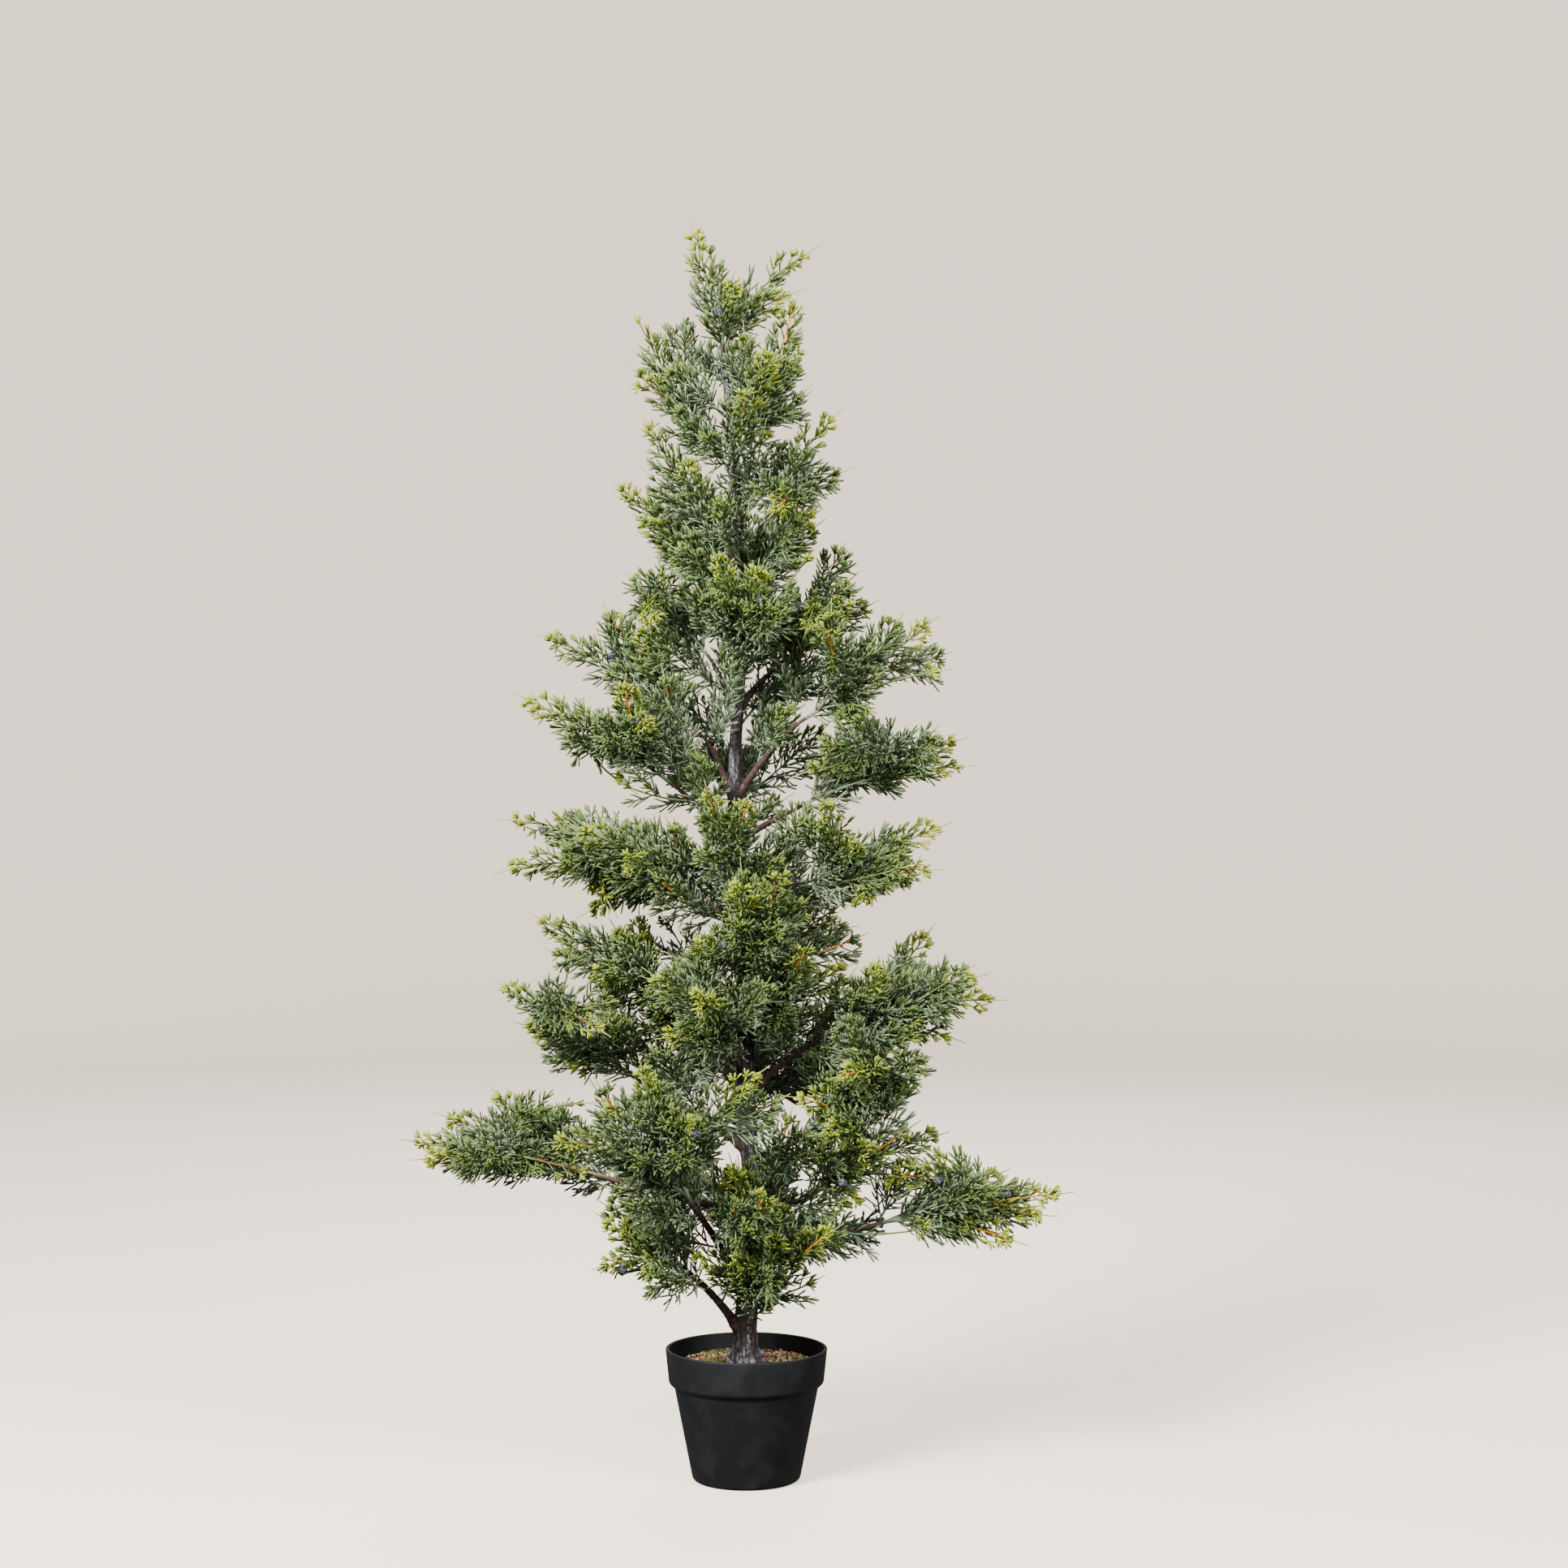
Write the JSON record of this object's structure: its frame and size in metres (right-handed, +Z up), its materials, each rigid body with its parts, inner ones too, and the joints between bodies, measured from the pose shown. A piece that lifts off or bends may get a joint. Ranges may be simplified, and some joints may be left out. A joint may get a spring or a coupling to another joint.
{
  "type": "potted artificial juniper tree",
  "caption": "Slender artificial juniper with soft blue-green needle sprays on wrapped boughs round a moulded trunk, standing in a round black nursery pot with a collared rim.",
  "frame": {"origin": "centre of the pot's flat underside, on the floor", "axes": "+Z up along the trunk, the front of the tree faces -Y, +X is to the right as seen from the front"},
  "size_m": [0.6558, 0.3905, 1.2276],
  "materials": {
    "black_plastic": "matte black moulded plastic",
    "potting_fill": "brown crumbs and moss glued over a cement fill",
    "bark": "moulded dark brown bark with pale grey dry-brushing",
    "wrapped_limb": "matte reddish brown plastic over wire",
    "needles": "soft moulded needles, blue-green with yellow-green tips"
  },
  "bodies": {
    "root": {"back_crown_foliage": "needles", "back_high_foliage": "needles", "back_low_foliage": "needles", "back_middle_bough": "wrapped_limb", "back_middle_foliage": "needles", "back_middle_low_foliage": "needles", "front_crown_foliage": "needles", "front_high_foliage": "needles", "front_low_foliage": "needles", "front_middle_foliage": "needles", "front_middle_low_foliage": "needles", "front_middle_right_foliage": "needles", "front_top_low_foliage": "needles", "left_crown_foliage": "needles", "left_crown_low_foliage": "needles", "left_front_bough": "wrapped_limb", "left_front_foliage": "needles", "left_front_low_bough": "wrapped_limb", "left_front_low_foliage": "needles", "left_high_bough": "wrapped_limb", "left_high_foliage": "needles", "left_low_bough": "wrapped_limb", "left_low_foliage": "needles", "left_middle_bough": "wrapped_limb", "left_middle_foliage": "needles", "left_middle_inner_bough": "wrapped_limb", "left_middle_inner_foliage": "needles", "left_middle_low_bough": "wrapped_limb", "left_middle_low_foliage": "needles", "left_top_foliage": "needles", "left_top_low_bough": "wrapped_limb", "left_top_low_foliage": "needles", "left_upper_bough": "wrapped_limb", "left_upper_foliage": "needles", "left_upper_low_bough": "wrapped_limb", "left_upper_low_foliage": "needles", "low_front_foliage": "needles", "pot": "black_plastic", "right_crown_foliage": "needles", "right_crown_low_foliage": "needles", "right_high_bough": "wrapped_limb", "right_high_foliage": "needles", "right_low_bough": "wrapped_limb", "right_low_foliage": "needles", "right_low_upper_bough": "wrapped_limb", "right_low_upper_foliage": "needles", "right_middle_bough": "wrapped_limb", "right_middle_foliage": "needles", "right_middle_low_bough": "wrapped_limb", "right_middle_low_foliage": "needles", "right_top_foliage": "needles", "right_top_low_bough": "wrapped_limb", "right_top_low_foliage": "needles", "right_upper_bough": "wrapped_limb", "right_upper_foliage": "needles", "right_upper_low_bough": "wrapped_limb", "right_upper_low_foliage": "needles", "soil": "potting_fill", "top_foliage": "needles", "trunk": "bark"}
  },
  "joints": []
}
